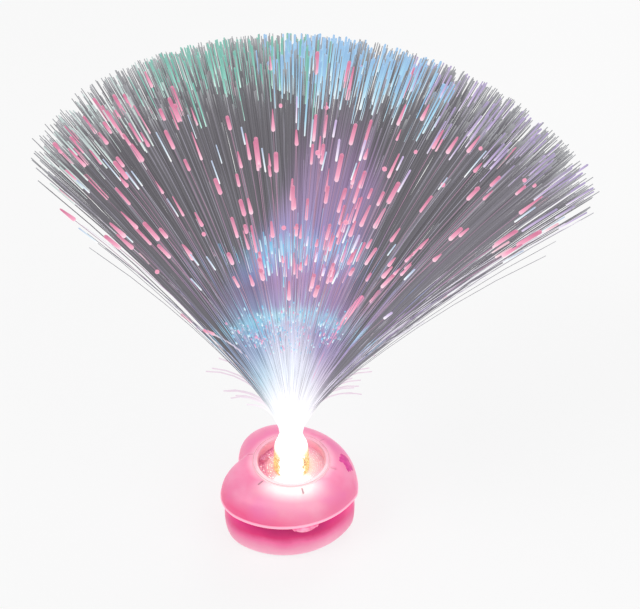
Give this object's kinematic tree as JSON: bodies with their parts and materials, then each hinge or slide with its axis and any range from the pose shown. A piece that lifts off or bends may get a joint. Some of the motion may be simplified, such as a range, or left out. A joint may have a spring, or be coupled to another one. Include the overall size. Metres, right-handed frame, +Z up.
{
  "type": "fiber optic lamp",
  "caption": "Table lamp with a puffy heart base, a clear glowing collar and a lift-out spray of optical fibres, with a push button and a battery door.",
  "frame": {"origin": "on the table, under the axis of the fibre bundle", "axes": "+Z up along the fibre bundle, +X towards the heart's tip, +Y across the lobes"},
  "size_m": [0.3294, 0.3298, 0.2995],
  "materials": {
    "shell_pink": "glossy, slightly translucent",
    "shell_deep_pink": "glossy, slightly translucent",
    "ring_pink": "glossy, translucent",
    "button_pink": "glossy",
    "clear_plastic": "clear, moulded",
    "fibre": "clear acrylic strand",
    "metal_sleeve": "satin",
    "white_plastic": "moulded",
    "dark_rubber": "matte",
    "steel": "bright",
    "contact_metal": "plated",
    "lens_red": "clear tinted",
    "lens_green": "clear tinted",
    "lens_blue": "clear tinted",
    "board_green": "lacquered board",
    "black_plastic": "moulded",
    "resistor_tan": "matte",
    "cell_sleeve": "printed sleeve, plain",
    "insulation_red": "insulation",
    "insulation_black": "insulation"
  },
  "bodies": {
    "base": {"lower_shell": "shell_deep_pink", "top_shell": "shell_pink", "base_plate": "white_plastic", "feet": "dark_rubber", "trim_ring": "ring_pink", "recess_dish": "shell_pink", "bundle_collar": "clear_plastic", "mixing_lens": "clear_plastic", "led_reflector": "white_plastic", "led_red": "lens_red", "led_green": "lens_green", "led_blue": "lens_blue", "circuit_board": "board_green", "controller_chip": "black_plastic", "resistors": "resistor_tan", "switch_body": "black_plastic", "button_spring": "steel", "battery_cell_1": "cell_sleeve", "battery_cell_2": "cell_sleeve", "battery_cell_3": "cell_sleeve", "battery_springs": "contact_metal", "contact_plates": "contact_metal", "wire_red": "insulation_red", "wire_black": "insulation_black", "case_screws": "steel", "board_screws": "steel"},
    "button": {"push_button": "button_pink", "switch_plunger": "white_plastic"},
    "door": {"battery_door": "white_plastic"},
    "spray": {"ferrule": "metal_sleeve", "fibre_bundle": "fibre"}
  },
  "joints": [
    {"name": "button_press", "type": "slide", "parent": "base", "child": "button", "axis": [-0.5446, 0.8387, 0], "range_m": [0, 0.0016], "stiffness_N_per_m": 250, "deforming": ["button_spring"]},
    {"name": "door_swing", "type": "hinge", "parent": "base", "child": "door", "pos_m": [-0.0226, 0, 0.0012], "axis": [0, 1, 0], "range_deg": [0, 55]},
    {"name": "spray_lift", "type": "slide", "parent": "base", "child": "spray", "axis": [0, 0, 1], "range_m": [0, 0.024]}
  ]
}
